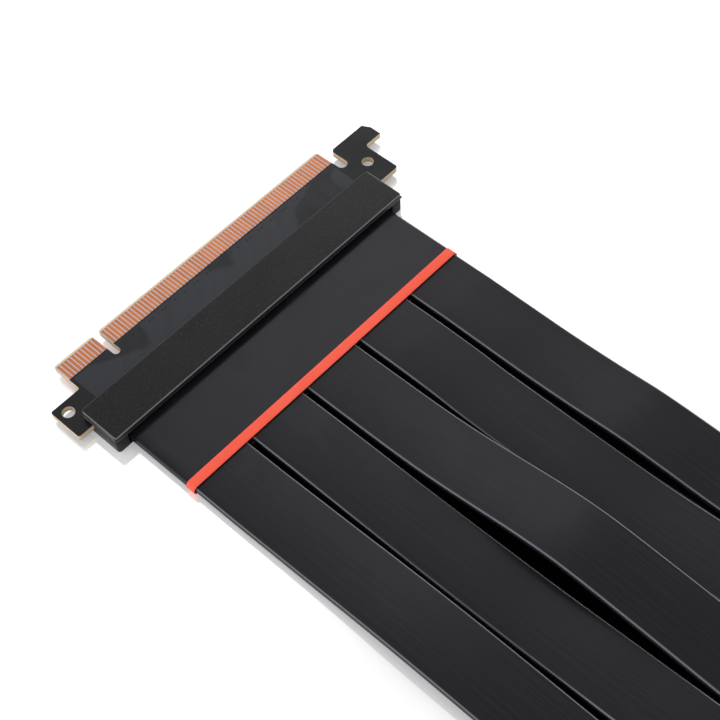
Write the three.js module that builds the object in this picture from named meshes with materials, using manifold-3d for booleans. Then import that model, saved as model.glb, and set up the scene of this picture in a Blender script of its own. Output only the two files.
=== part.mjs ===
import * as THREE from 'three';
import { mergeVertices } from 'three/addons/utils/BufferGeometryUtils.js';
import Module from 'manifold-3d';

// Riser cable for a graphics card. One board carries an x16 edge plug, the other an x16 slot that
// stands on it, and five flat shielded ribbons join them. Both boards end in the same two-shell
// moulded cover, where a black sleeve gathers the ribbons and an orange band closes its mouth.
// Millimetres. +X runs from pin 1 to the card's hook, +Y is the way the plug goes in, +Z is up,
// and the cable lies on a surface at z = 0.

// Contacts of an x16 edge, numbered from pin 1
const pinPitch = 1;
const shortPins = 11;
const longPins = 71;
const keySpan = 3;
const keyWidth = 1.9;
const keyDepth = 8.45;
const endMargin = 0.65;
const padWidth = 0.7;
const padStart = 1;
const padLength = 4.45;
const padRelief = 0.05;
const bevelLength = 1;
const bevelDrop = 0.42;

// Boards
const boardThickness = 1.57;
const shoulderDepth = 9.05;
const boardDepth = 18.5;
const earReachLeft = 8.4;
const earReachRight = 9.4;
const earHole = 3;
const earHoleInsetLeft = 2.7;
const earHoleInsetRight = 3.5;
const earHoleDepth = 11.9;
const tipRadius = 0.7;
const notchRounding = 0.49;
const earRadius = 0.6;
const hookGap = 2.7;
const hookGapDepth = 8.95;
const hookTop = 2.65;
const hookBottom = 7.85;
const hookReach = 14.8;
const hookInnerChamfer = 0.65;
const hookOuterChamfer = [1.1, 2.05];
const hookFillet = 1;
const tongueOffset = 1.25;
const boardInCover = 3.4;

// Ribbons
const ribbonCount = 5;
const ribbonWidth = 15.6;
const ribbonThickness = 1.6;
const ribbonSlit = 1.3;
const ribbonCorner = 0.45;
const ribbonSteps = 24;
const cableRun = 208;
const straightRun = 5;

// Sleeve and band around the ribbons
const sleeveWall = 0.2;
const sleeveClearance = 0.1;
const sleeveLength = 22.6;
const bandLength = 2.45;
const bandWall = 0.2;

// Cover shells
const coverBesideSleeve = 3.45;
const coverDepth = 11.4;
const coverHeight = 5.5;
const coverFront = 20.1;
const coverWall = 1;
const coverFloor = 0.7;
const coverRoof = 0.9;
const coverCorner = 1.2;
const coverEdge = 0.4;
const partingHeight = 3.9;
const boardSupport = 0.83;
const mouthClearance = 0.3;
const pegDiameter = 1.2;
const pegClearance = 0.3;
const pegInset = 2.45;
const pegFromBack = 1.9;

// Wire pairs from the ribbons to the boards
const pairsPerLayer = 4;
const pairWidth = 2.6;
const pairThickness = 0.6;
const coreThickness = 1.3;
const coreStub = 1.2;
const ribbonStrip = 3.5;
const pairOverBoard = 2;
const pairGap = 0.3;

// Slot
const slotWidth = 7.5;
const slotHeight = 11.25;
const slotFloor = 1.6;
const slotOpening = 1.8;
const slotEndWall = 2;
const slotFit = 0.225;
const cellWidth = 0.62;
const cellDepth = 1.25;
const contactWidth = 0.42;
const contactThickness = 0.32;
const contactTip = 1.1;
const contactReach = 0.62;
const contactLead = 2;
const slotToCover = 2.4;
const slotToEdge = 3.8;
const slotBoardLeft = 9.6;
const slotBoardRight = 15.2;
const slotBoardCorner = 1.5;
const mountHole = 3.2;
const mountHoleInset = 4;

// Latch at the slot's hook end
const latchGap = 0.3;
const latchArm = 2.6;
const latchPivotHeight = 2.5;
const latchPin = 1.6;
const latchPinPlay = 0.25;
const latchWidth = 4.2;
const latchSidePlay = 0.3;
const latchRise = 3.2;
const latchNose = 1.7;
const latchNoseGap = 0.5;
const latchTab = 4.2;
const latchTabThickness = 0.9;
const cheekLength = 4.6;
const cheekHeight = 6.2;

// What follows from the sizes above
const ribbonPitch = ribbonWidth + ribbonSlit;
const bundleWidth = (ribbonCount - 1) * ribbonPitch + ribbonWidth;
const sleeveWidth = bundleWidth + 2 * (sleeveClearance + sleeveWall);
const sleeveHeight = ribbonThickness + 2 * (sleeveClearance + sleeveWall);
const ribbonHeight = coverFloor + sleeveHeight / 2;
const coverLength = sleeveWidth + 2 * coverBesideSleeve;
const boardBottom = coverFloor + boardSupport;
const boardTop = boardBottom + boardThickness;
const coverBack = coverFront + coverDepth;
const boardEdge = coverBack - boardInCover;
const plugTip = boardEdge + boardDepth;
const keyMargin = (keySpan - keyWidth) / 2;
const shortTongue = endMargin + (shortPins - 1) * pinPitch + keyMargin;
const tongueLength = shortTongue + keyWidth + keyMargin + (longPins - 1) * pinPitch + endMargin;
const tongueLeft = tongueOffset - tongueLength / 2;
const tongueRight = tongueLeft + tongueLength;
const hookEnd = tongueRight + hookReach;
const slotLeft = tongueLeft - slotFit - slotEndWall;
const slotRight = tongueRight + slotFit + slotEndWall;
const slotCentre = coverBack + slotToCover + slotWidth / 2;
const slotBoardEnd = slotCentre + slotWidth / 2 + slotToEdge;
const slotTop = boardTop + slotHeight;
const ribbonEnd = boardEdge - coreStub - ribbonStrip;
const pegX = coverLength / 2 - pegInset;
const pegY = coverBack - pegFromBack;
const latchPivotX = slotRight + latchGap + latchArm / 2;
const latchPivotZ = boardTop + latchPivotHeight;

const pinCentres = [];
for (let pin = 0; pin < shortPins + longPins; pin += 1) {
  const skipped = pin < shortPins ? 0 : keySpan - pinPitch;
  pinCentres.push(tongueLeft + endMargin + pin * pinPitch + skipped);
}

const wasm = await Module();
wasm.setup();

// A closed geometry as a solid that can be joined and cut
function solid(geometry) {
  const bare = geometry.clone();
  bare.deleteAttribute('normal');
  bare.deleteAttribute('uv');
  const merged = mergeVertices(bare, 1e-5);
  return new wasm.Manifold(new wasm.Mesh({
    numProp: 3,
    vertProperties: new Float32Array(merged.attributes.position.array),
    triVerts: new Uint32Array(merged.index.array),
  }));
}

function geometryOf(body) {
  const mesh = body.getMesh();
  const geometry = new THREE.BufferGeometry();
  geometry.setAttribute('position', new THREE.BufferAttribute(mesh.vertProperties, 3));
  geometry.setIndex(new THREE.BufferAttribute(mesh.triVerts, 1));
  return geometry;
}

function block([x0, x1], [y0, y1], [z0, z1]) {
  const geometry = new THREE.BoxGeometry(x1 - x0, y1 - y0, z1 - z0);
  return solid(geometry.translate((x0 + x1) / 2, (y0 + y1) / 2, (z0 + z1) / 2));
}

// Straight sides between corners given as x, y and an optional radius
function outline(corners) {
  const shape = new THREE.Shape();
  corners.forEach(([x, y, radius = 0], index) => {
    const corner = new THREE.Vector2(x, y);
    if (radius === 0) {
      if (index === 0) shape.moveTo(x, y);
      else shape.lineTo(x, y);
      return;
    }
    const last = corners.at(index - 1);
    const next = corners[(index + 1) % corners.length];
    const back = new THREE.Vector2(last[0] - x, last[1] - y).normalize();
    const ahead = new THREE.Vector2(next[0] - x, next[1] - y).normalize();
    const half = Math.acos(back.dot(ahead)) / 2;
    const start = corner.clone().addScaledVector(back, radius / Math.tan(half));
    const end = corner.clone().addScaledVector(ahead, radius / Math.tan(half));
    const middle = back.clone().add(ahead).setLength(radius / Math.sin(half));
    const centre = corner.clone().add(middle);
    const from = start.sub(centre).angle();
    const to = end.sub(centre).angle();
    shape.absarc(centre.x, centre.y, radius, from, to, ahead.cross(back) < 0);
  });
  return shape;
}

function circle(x, y, radius) {
  const path = new THREE.Path();
  for (let quarter = 0; quarter < 4; quarter += 1) {
    path.absarc(x, y, radius, quarter * Math.PI / 2, (quarter + 1) * Math.PI / 2);
  }
  return path;
}

function rectangle(width, height, radius) {
  return outline([
    [-width / 2, -height / 2, radius],
    [width / 2, -height / 2, radius],
    [width / 2, height / 2, radius],
    [-width / 2, height / 2, radius],
  ]);
}

// An outline drawn in x and y, raised from z0 to z1
function plate(shape, z0, z1, curveSegments = 2) {
  const options = { depth: z1 - z0, bevelEnabled: false, curveSegments };
  return new THREE.ExtrudeGeometry(shape, options).translate(0, 0, z0);
}

// An outline drawn in x and z, drawn out from y0 to y1
function along(shape, y0, y1, curveSegments = 2) {
  const geometry = plate(shape, 0, y1 - y0, curveSegments);
  return geometry.rotateX(Math.PI / 2).translate(0, y1, 0);
}

// An outline drawn in y and z, drawn out from x0 to x1
function across(shape, x0, x1) {
  const turn = new THREE.Matrix4().makeBasis(
    new THREE.Vector3(0, 1, 0),
    new THREE.Vector3(0, 0, 1),
    new THREE.Vector3(1, 0, 0),
  );
  return plate(shape, 0, x1 - x0).applyMatrix4(turn).translate(x0, 0, 0);
}

function pin(radius, sides, axis, from, to, place) {
  const geometry = new THREE.CylinderGeometry(radius, radius, to - from, sides);
  if (axis === 'z') geometry.rotateX(Math.PI / 2).translate(place[0], place[1], (from + to) / 2);
  else geometry.translate(place[0], (from + to) / 2, place[1]);
  return solid(geometry);
}

// Edge plug. In the board's own outline y is 0 at the tongue's tip and runs back to the cable.
function plugBoard() {
  const earLeft = tongueLeft - earReachLeft;
  const earRight = tongueRight + earReachRight;
  const keyLeft = tongueLeft + shortTongue;
  const hookLeft = tongueRight + hookGap;
  const shape = outline([
    [earLeft, -boardDepth, earRadius],
    [earLeft, -shoulderDepth, earRadius],
    [tongueLeft, -shoulderDepth, earRadius],
    [tongueLeft, 0, tipRadius],
    [keyLeft, 0, tipRadius],
    [keyLeft, -keyDepth, keyWidth * notchRounding],
    [keyLeft + keyWidth, -keyDepth, keyWidth * notchRounding],
    [keyLeft + keyWidth, 0, tipRadius],
    [tongueRight, 0, tipRadius],
    [tongueRight, -hookGapDepth, hookGap * notchRounding],
    [hookLeft, -hookGapDepth, hookGap * notchRounding],
    [hookLeft, -hookTop - hookInnerChamfer],
    [hookLeft + hookInnerChamfer, -hookTop],
    [hookEnd - hookOuterChamfer[0], -hookTop],
    [hookEnd, -hookTop - hookOuterChamfer[1]],
    [hookEnd, -hookBottom],
    [earRight, -hookBottom, hookFillet],
    [earRight, -boardDepth, earRadius],
  ]);
  shape.holes.push(
    circle(earLeft + earHoleInsetLeft, -earHoleDepth, earHole / 2),
    circle(earRight - earHoleInsetRight, -earHoleDepth, earHole / 2),
    circle(-pegX, pegY - plugTip, pegDiameter / 2 + pegClearance),
    circle(pegX, pegY - plugTip, pegDiameter / 2 + pegClearance),
  );
  let board = solid(plate(shape, boardBottom, boardTop));
  const past = 0.5;
  const slope = bevelDrop / bevelLength;
  for (const [face, out] of [[boardTop, 1], [boardBottom, -1]]) {
    const wedge = outline([
      [-bevelLength, face],
      [past, face - out * slope * (bevelLength + past)],
      [past, face + out],
    ]);
    board = board.subtract(solid(across(wedge, tongueLeft - past, tongueRight + past)));
  }
  const pads = pinCentres.flatMap((x) => [[boardTop, 1], [boardBottom, -1]].map(([face, out]) => {
    const inner = face - out * padRelief * 2;
    const outer = face + out * padRelief;
    const heights = [Math.min(inner, outer), Math.max(inner, outer)];
    return block([x - padWidth / 2, x + padWidth / 2], [-padStart - padLength, -padStart], heights);
  }));
  return geometryOf(wasm.Manifold.union([board, ...pads])).translate(0, plugTip, 0);
}

// Board under the slot. It runs from its edge inside the cover to the far end of the cable.
function slotBoard() {
  const left = tongueLeft - slotBoardLeft;
  const right = tongueRight + slotBoardRight;
  const shape = outline([
    [left, -boardEdge, earRadius],
    [left, -slotBoardEnd, slotBoardCorner],
    [right, -slotBoardEnd, slotBoardCorner],
    [right, -boardEdge, earRadius],
  ]);
  shape.holes.push(
    circle(left + mountHoleInset, -slotCentre, mountHole / 2),
    circle(right - mountHoleInset, -slotCentre, mountHole / 2),
    circle(-pegX, -pegY, pegDiameter / 2 + pegClearance),
    circle(pegX, -pegY, pegDiameter / 2 + pegClearance),
  );
  return plate(shape, boardBottom, boardTop);
}

// Cover shells. The lower one carries the board and has the sleeve's mouth and two locating pegs,
// the upper one closes on the board's top face at the back and on the lower shell at the front.
function coverBlank() {
  const shape = rectangle(coverLength, coverDepth, coverCorner);
  const geometry = new THREE.ExtrudeGeometry(shape, {
    depth: coverHeight - 2 * coverEdge,
    bevelThickness: coverEdge,
    bevelSize: coverEdge,
    bevelOffset: -coverEdge,
    bevelSegments: 2,
    curveSegments: 2,
  });
  return solid(geometry.translate(0, (coverFront + coverBack) / 2, coverEdge));
}

const coverInside = [coverFloor, coverHeight - coverRoof];
const coverCavity = block(
  [coverWall - coverLength / 2, coverLength / 2 - coverWall],
  [coverFront + coverWall, coverBack - coverWall],
  coverInside,
);

// All that lies above or below the parting line, which steps to the board's face at the back
function pastParting(boardFace, side) {
  const step = boardEdge - pairGap;
  const beyond = 2 * coverBack;
  const outside = outline([
    [0, partingHeight],
    [step, partingHeight],
    [step, boardFace],
    [beyond, boardFace],
    [beyond, side * beyond],
    [0, side * beyond],
  ]);
  return solid(across(outside, -coverLength, coverLength));
}

function coverTop() {
  return geometryOf(coverBlank().subtract(pastParting(boardTop, -1)).subtract(coverCavity));
}

function coverBottom() {
  const mouth = sleeveWidth / 2 + mouthClearance;
  let shell = coverBlank()
    .subtract(pastParting(boardBottom, 1))
    .subtract(coverCavity)
    .subtract(block([-mouth, mouth], [0, coverFront + 2 * coverWall], coverInside));
  const pegTop = coverHeight - coverRoof - pegClearance;
  for (const x of [-pegX, pegX]) {
    shell = shell.add(pin(pegDiameter / 2, 12, 'z', coverFloor / 2, pegTop, [x, pegY]));
  }
  return geometryOf(shell);
}

// A flat ring around the ribbons, from the inner size given
function ring(innerWidth, innerHeight, wall, y0, y1) {
  const inner = innerHeight * 0.4;
  const shape = rectangle(innerWidth + 2 * wall, innerHeight + 2 * wall, inner + wall);
  shape.holes.push(rectangle(innerWidth, innerHeight, inner));
  return along(shape, y0, y1).translate(0, 0, ribbonHeight);
}

function sleeve() {
  const innerWidth = sleeveWidth - 2 * sleeveWall;
  const innerHeight = sleeveHeight - 2 * sleeveWall;
  return ring(innerWidth, innerHeight, sleeveWall, 0, sleeveLength);
}

function band() {
  return ring(sleeveWidth, sleeveHeight, bandWall, 0, bandLength);
}

// The bared pairs of one ribbon: a common stub that forks over and under the board's edge
function wirePairs(x) {
  const start = ribbonEnd + pairGap;
  const split = boardEdge - ribbonStrip + pairGap;
  const lap = boardEdge + pairOverBoard;
  const middle = (boardTop + boardBottom) / 2;
  const fork = outline([
    [start, ribbonHeight + coreThickness / 2],
    [split, ribbonHeight + coreThickness / 2],
    [boardEdge - pairGap, boardTop + pairThickness],
    [lap, boardTop + pairThickness],
    [lap, boardTop],
    [boardEdge - pairGap, boardTop],
    [split + pairThickness, middle],
    [boardEdge - pairGap, boardBottom],
    [lap, boardBottom],
    [lap, boardBottom - pairThickness],
    [boardEdge - pairGap, boardBottom - pairThickness],
    [split, ribbonHeight - coreThickness / 2],
    [start, ribbonHeight - coreThickness / 2],
  ]);
  const half = ribbonWidth / 2 - ribbonCorner;
  const heights = [ribbonHeight - coreThickness / 2, ribbonHeight + coreThickness / 2];
  const parts = [block([x - half, x + half], [start, split], heights)];
  const pitch = 2 * half / pairsPerLayer;
  for (let pair = 0; pair < pairsPerLayer; pair += 1) {
    const centre = x - half + (pair + 0.5) * pitch;
    parts.push(solid(across(fork, centre - pairWidth / 2, centre + pairWidth / 2)));
  }
  return geometryOf(wasm.Manifold.union(parts));
}

// Slot housing, centred on y = 0: two card openings, a cell for each contact, the contact springs
// that bulge into the openings, and two cheeks that carry the latch.
function contactSpring(x, side) {
  const root = slotOpening / 2 + cellDepth - pairGap;
  const tip = slotTop - contactTip;
  const bend = tip - contactLead;
  const foot = boardTop + slotFloor - contactThickness;
  const profile = outline([
    [side * (root - contactThickness), foot],
    [side * contactReach, bend],
    [side * (contactReach + 1.5 * contactThickness), tip],
    [side * root, foot],
  ]);
  return solid(across(profile, x - contactWidth / 2, x + contactWidth / 2));
}

function slotHousing() {
  const half = slotOpening / 2;
  const floor = boardTop + slotFloor;
  const above = slotTop + slotFloor;
  const openings = [
    [tongueLeft - slotFit, tongueLeft + shortTongue + slotFit],
    [tongueLeft + shortTongue + keyWidth - slotFit, tongueRight + slotFit],
  ];
  const solids = [
    block([slotLeft, slotRight], [-slotWidth / 2, slotWidth / 2], [boardTop, slotTop]),
  ];
  const cuts = openings.map((reach) => block(reach, [-half, half], [floor, above]));
  const cheekInner = latchWidth / 2 + latchSidePlay;
  const contacts = [];
  for (const side of [-1, 1]) {
    const wall = [side * cheekInner, side * slotWidth / 2].sort((a, b) => a - b);
    const cheek = [slotRight - slotEndWall / 2, slotRight + cheekLength];
    solids.push(block(cheek, wall, [boardTop, boardTop + cheekHeight]));
    const cell = [side * half / 2, side * (half + cellDepth)].sort((a, b) => a - b);
    for (const x of pinCentres) {
      cuts.push(block([x - cellWidth / 2, x + cellWidth / 2], cell, [floor, above]));
      contacts.push(contactSpring(x, side));
    }
  }
  const pivot = [latchPivotX, latchPivotZ];
  cuts.push(pin(latchPin / 2 + latchPinPlay, 16, 'y', -slotWidth, slotWidth, pivot));
  const { union } = wasm.Manifold;
  return geometryOf(union([union(solids).subtract(union(cuts)), ...contacts]));
}

// Latch that holds the card's hook, with its pivot at the origin
function latch() {
  const half = latchArm / 2;
  const housingTop = slotHeight - latchPivotHeight;
  const top = housingTop + latchRise;
  const noseBottom = housingTop + latchNoseGap;
  const shape = new THREE.Shape();
  shape.moveTo(half, 0);
  shape.lineTo(half, top - 2 * latchTabThickness);
  shape.lineTo(half + latchTab, top - latchTabThickness);
  shape.lineTo(half + latchTab, top);
  shape.lineTo(-half, top);
  shape.lineTo(-half - latchNose, (top + noseBottom) / 2);
  shape.lineTo(-half - latchNose, noseBottom);
  shape.lineTo(-half, noseBottom);
  shape.lineTo(-half, 0);
  shape.absarc(0, 0, half, Math.PI, 2 * Math.PI);
  const arm = solid(along(shape, -latchWidth / 2, latchWidth / 2, 4));
  const axleEnd = slotWidth / 2 - latchSidePlay;
  return geometryOf(arm.add(pin(latchPin / 2, 12, 'y', -axleEnd, axleEnd, [0, 0])));
}

// The route of one ribbon, which stays flat: straight through the sleeves at both ends, and free
// between the bands over heights and side steps chosen by hand at shares of the run.
class RibbonRoute extends THREE.CurvePath {
  constructor(x, plugMouth, slotMouth, freePoints) {
    super();
    const at = (y, rise = 0, drift = 0) => new THREE.Vector3(x + drift, y, ribbonHeight + rise);
    const free = freePoints.map(([share, rise, drift]) => {
      return at(plugMouth - share * cableRun, rise, drift);
    });
    const first = at(plugMouth - straightRun);
    const last = at(slotMouth + straightRun);
    const before = at(plugMouth - 2 * straightRun);
    const after = at(slotMouth + 2 * straightRun);
    this.add(new THREE.LineCurve3(at(plugMouth + ribbonEnd), first));
    this.add(new THREE.CatmullRomCurve3([first, before, ...free, after, last]));
    this.add(new THREE.LineCurve3(last, at(slotMouth - ribbonEnd)));
  }

  computeFrenetFrames(segments) {
    const tangents = [];
    const normals = [];
    const binormals = [];
    for (let step = 0; step <= segments; step += 1) {
      const tangent = this.getTangentAt(step / segments);
      const normal = new THREE.Vector3(1, 0, 0).projectOnPlane(tangent).normalize();
      tangents.push(tangent);
      normals.push(normal);
      binormals.push(new THREE.Vector3().crossVectors(tangent, normal));
    }
    return { tangents, normals, binormals };
  }
}

const freeRuns = [
  [[0.1, 0.1, 0.1], [0.16, 0.3, 0.2], [0.21, 0.8, 0.2], [0.26, 1.4, 0.1], [0.33, 1.6, 0],
    [0.44, 0.8, 0], [0.58, -0.4, 0], [0.72, 0.3, 0], [0.86, 0.2, 0]],
  [[0.1, -0.2, 0], [0.16, -0.4, 0], [0.22, -0.5, 0], [0.28, -0.4, 0], [0.34, -0.2, 0],
    [0.44, 0.8, 0], [0.56, 1.9, 0], [0.7, 0.6, 0], [0.86, -0.2, 0]],
  [[0.1, 0.1, 0], [0.14, 0.4, 0], [0.185, 1.3, 0], [0.233, 2.8, 0], [0.281, 4.3, 0],
    [0.33, 5, 0], [0.42, 3.7, 0], [0.55, 1.2, 0], [0.7, 0.4, 0], [0.86, 0.3, 0]],
  [[0.1, -0.4, 0], [0.14, -0.7, -0.2], [0.2, -0.9, -0.3], [0.28, -0.9, -0.5],
    [0.36, -0.8, -0.6], [0.46, 0.1, -0.3], [0.58, 1.5, 0], [0.72, 1.3, 0], [0.86, 0.2, 0]],
  [[0.1, -0.3, 0], [0.16, -0.6, 0], [0.22, -0.4, 0], [0.28, 0.2, 0], [0.33, -0.1, 0],
    [0.4, -0.8, 0], [0.52, -0.3, 0], [0.66, 0.8, 0], [0.8, 0.9, 0], [0.9, 0.1, 0]],
];

function ribbon(route) {
  const half = ribbonWidth / 2;
  const thick = ribbonThickness / 2;
  const section = outline([
    [-half, -thick + ribbonCorner],
    [-half + ribbonCorner, -thick],
    [half - ribbonCorner, -thick],
    [half, -thick + ribbonCorner],
    [half, thick - ribbonCorner],
    [half - ribbonCorner, thick],
    [-half + ribbonCorner, thick],
    [-half, thick - ribbonCorner],
  ]);
  return new THREE.ExtrudeGeometry(section, { steps: ribbonSteps, extrudePath: route });
}

// Materials
const solderMask = { color: 0x2a2b2f, roughness: 0.4, metalness: 0.1 };
const coverPlastic = { color: 0x2b2b2d, roughness: 0.6, metalness: 0 };
const sleeveFilm = { color: 0x323236, roughness: 0.45, metalness: 0 };
const ribbonJacket = { color: 0x303034, roughness: 0.4, metalness: 0 };
const bandOrange = { color: 0xff6346, roughness: 0.5, metalness: 0 };
const slotPlastic = { color: 0x1f1f21, roughness: 0.5, metalness: 0 };
const latchPlastic = { color: 0x26262a, roughness: 0.45, metalness: 0 };
const pairInsulation = { color: 0xd8d4cc, roughness: 0.5, metalness: 0 };

// Assembly. The mouths of the two bands face each other across the cable's run, and the whole
// is centred over its origin.
const assembly = new THREE.Group();
const overallLength = plugTip + cableRun + slotBoardEnd;
const plugMouth = overallLength / 2 - plugTip;
const slotMouth = plugMouth - cableRun;
const leftmost = Math.min(tongueLeft - earReachLeft, tongueLeft - slotBoardLeft);
const rightmost = Math.max(hookEnd, tongueRight + slotBoardRight);
assembly.position.x = -(leftmost + rightmost) / 2;

function piece(parent, name, geometry, finish, [x, y, z] = [0, 0, 0]) {
  const mesh = new THREE.Mesh(geometry, new THREE.MeshStandardMaterial(finish));
  mesh.name = name;
  mesh.position.set(x, y, z);
  parent.add(mesh);
}

function ribbonCentre(index) {
  return (index - (ribbonCount - 1) / 2) * ribbonPitch;
}

// One end of the cable, whose connector points to +Y, or to -Y when it is turned about
function cableEnd(prefix, mouth, turned) {
  const end = new THREE.Group();
  end.position.y = mouth;
  end.rotation.z = turned ? Math.PI : 0;
  assembly.add(end);
  piece(end, `${prefix}_cover_top`, coverTop(), coverPlastic);
  piece(end, `${prefix}_cover_bottom`, coverBottom(), coverPlastic);
  piece(end, `${prefix}_sleeve`, sleeve(), sleeveFilm);
  piece(end, `${prefix}_band`, band(), bandOrange);
  for (let index = 0; index < ribbonCount; index += 1) {
    const x = ribbonCentre(index) * (turned ? -1 : 1);
    piece(end, `${prefix}_wires_${index + 1}`, wirePairs(x), pairInsulation);
  }
}

cableEnd('plug', plugMouth, false);
cableEnd('slot', slotMouth, true);
piece(assembly, 'plug_board', plugBoard(), solderMask, [0, plugMouth, 0]);
piece(assembly, 'slot_board', slotBoard(), solderMask, [0, slotMouth, 0]);
piece(assembly, 'slot_housing', slotHousing(), slotPlastic, [0, slotMouth - slotCentre, 0]);
const latchPlace = [latchPivotX, slotMouth - slotCentre, latchPivotZ];
piece(assembly, 'slot_latch', latch(), latchPlastic, latchPlace);
freeRuns.forEach((freePoints, index) => {
  const route = new RibbonRoute(ribbonCentre(index), plugMouth, slotMouth, freePoints);
  piece(assembly, `ribbon_${index + 1}`, ribbon(route), ribbonJacket);
});

export default assembly;
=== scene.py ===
import math

import bmesh
import bpy
from mathutils import Matrix, Vector, noise
from mathutils.geometry import interpolate_bezier, tessellate_polygon


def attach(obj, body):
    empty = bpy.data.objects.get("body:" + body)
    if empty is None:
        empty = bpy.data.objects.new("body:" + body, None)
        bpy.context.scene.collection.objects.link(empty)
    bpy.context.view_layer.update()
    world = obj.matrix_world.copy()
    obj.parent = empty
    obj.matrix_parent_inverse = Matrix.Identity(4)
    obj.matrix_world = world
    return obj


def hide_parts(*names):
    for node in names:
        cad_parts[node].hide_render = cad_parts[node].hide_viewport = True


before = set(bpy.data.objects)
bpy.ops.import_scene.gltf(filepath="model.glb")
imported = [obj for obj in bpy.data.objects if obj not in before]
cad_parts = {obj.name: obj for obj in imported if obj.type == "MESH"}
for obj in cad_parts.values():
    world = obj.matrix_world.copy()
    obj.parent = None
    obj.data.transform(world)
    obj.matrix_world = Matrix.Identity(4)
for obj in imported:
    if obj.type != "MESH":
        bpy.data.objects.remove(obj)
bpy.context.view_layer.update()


# Camera. It looks down on the plug's end of the cable from beside it, through a long lens, as the
# product photograph does.
scene = bpy.context.scene
scene.view_settings.view_transform = "Standard"
camera = bpy.data.objects.new("camera", bpy.data.cameras.new("camera"))
camera.data.sensor_width = 36
camera.data.lens = 74.17
camera.data.clip_start = 0.01
camera.location = (-0.12784, -0.03739, 0.26915)
camera.rotation_euler = [math.radians(turn) for turn in (35.1313, 2.8114, -47.225)]
scene.collection.objects.link(camera)
scene.camera = camera


# Ribbons. Five flat cables run from one cover to the other. Each holds eight shielded pairs side
# by side under a thin black jacket, which shows them only as faint streaks. Between the bands the
# ribbons lie loose, and the middle one stands up in a low hump.
MM = 0.001
RIBBON_WIDTH = 15.6
RIBBON_THICKNESS = 1.6
RIBBON_EDGE = 0.6
RIBBON_PITCH = 16.9
RIBBON_LEVEL = 1.8
CABLE_AXIS = -4.05
PLUG_MOUTH = 103.325
CABLE_RUN = 208
SLOT_MOUTH = PLUG_MOUTH - CABLE_RUN
RIBBON_IN_COVER = 23.4
STRAIGHT_RUN = 5
RIBBON_PAIRS = 8
PATH_STEP = 6
# Across the strip, where the painted highlight along each side of a jacket starts, peaks and ends,
# in mm
HIGHLIGHT_START = 7.25
HIGHLIGHT_MIDDLE = 7.5
HIGHLIGHT_END = 7.75
JACKET_BLACK = (0.0058, 0.0056, 0.0090, 1)
JACKET_LIGHTER = (0.0100, 0.0098, 0.0140, 1)
# Colour of the painted highlight along the jacket's sides
JACKET_PAINTED_HIGHLIGHT = (0.17, 0.17, 0.19, 1)
SATIN = {"Specular IOR Level": 0.22}

# Share of the run from the plug's mouth, rise and side step of each ribbon's free points
LOOSE_RUNS = [
    [(0.1, 0.1, 0.1), (0.16, 0.3, 0.2), (0.21, 0.8, 0.2), (0.26, 1.4, 0.1), (0.33, 1.6, 0),
     (0.44, 0.8, 0), (0.58, -0.4, 0), (0.72, 0.3, 0), (0.86, 0.2, 0)],
    [(0.1, -0.2, 0), (0.16, -0.4, 0), (0.22, -0.5, 0), (0.28, -0.4, 0), (0.34, -0.2, 0),
     (0.44, 0.8, 0), (0.56, 1.9, 0), (0.7, 0.6, 0), (0.86, -0.2, 0)],
    [(0.1, 0.1, 0), (0.14, 0.4, 0), (0.185, 1.3, 0), (0.233, 2.8, 0), (0.281, 4.3, 0),
     (0.33, 5, 0), (0.42, 3.7, 0), (0.55, 1.2, 0), (0.7, 0.4, 0), (0.86, 0.3, 0)],
    [(0.1, -0.4, 0), (0.14, -0.7, -0.2), (0.2, -0.9, -0.3), (0.28, -0.9, -0.5),
     (0.36, -0.8, -0.6), (0.46, 0.1, -0.3), (0.58, 1.5, 0), (0.72, 1.3, 0), (0.86, 0.2, 0)],
    [(0.1, -0.3, 0), (0.16, -0.6, 0), (0.22, -0.4, 0), (0.28, 0.2, 0), (0.33, -0.1, 0),
     (0.4, -0.8, 0), (0.52, -0.3, 0), (0.66, 0.8, 0), (0.8, 0.9, 0), (0.9, 0.1, 0)],
]


def add(tree, kind, feeds=None, **fields):
    """A new node, whose inputs are linked to sockets or set to values"""
    node = tree.nodes.new(kind)
    for field, value in fields.items():
        setattr(node, field, value)
    for socket, value in (feeds or {}).items():
        if isinstance(value, bpy.types.NodeSocket):
            tree.links.new(value, node.inputs[socket])
        else:
            node.inputs[socket].default_value = value
    return node


def maths(tree, operation, *values):
    return add(tree, "ShaderNodeMath", dict(enumerate(values)), operation=operation).outputs[0]


def axes(tree, vector):
    """The X, Y and Z of a vector, by name"""
    return add(tree, "ShaderNodeSeparateXYZ", {0: vector}).outputs


def mottle(tree, place, scale, detail, **more):
    """A cloudy pattern from 0 to 1, with about that many spots to a metre"""
    feeds = {"Vector": place, "Scale": scale, "Detail": detail, **more}
    return add(tree, "ShaderNodeTexNoise", feeds).outputs["Fac"]


def levels(tree, value, low, high, to_low=0.0, to_high=1.0):
    """A value spread from one range to another, with soft ends"""
    feeds = {"Value": value, 1: low, 2: high, 3: to_low, 4: to_high}
    kind = "ShaderNodeMapRange"
    return add(tree, kind, feeds, interpolation_type="SMOOTHSTEP").outputs[0]


def blend(tree, share, first, second):
    feeds = {0: share, 6: first, 7: second}
    return add(tree, "ShaderNodeMix", feeds, data_type="RGBA").outputs[2]


def node_group(kind, name, inputs, outputs):
    """An empty group of nodes. Each named socket has its type, or the number that it starts at."""
    tree = bpy.data.node_groups.new(name, kind)
    for sockets, way in ((inputs, "INPUT"), (outputs, "OUTPUT")):
        for label, given in sockets.items():
            sort = given if isinstance(given, str) else type(given).__name__.title()
            socket = tree.interface.new_socket(label, in_out=way, socket_type="NodeSocket" + sort)
            if sort != given:
                socket.default_value = given
    return tree, add(tree, "NodeGroupInput").outputs, add(tree, "NodeGroupOutput").inputs


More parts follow.
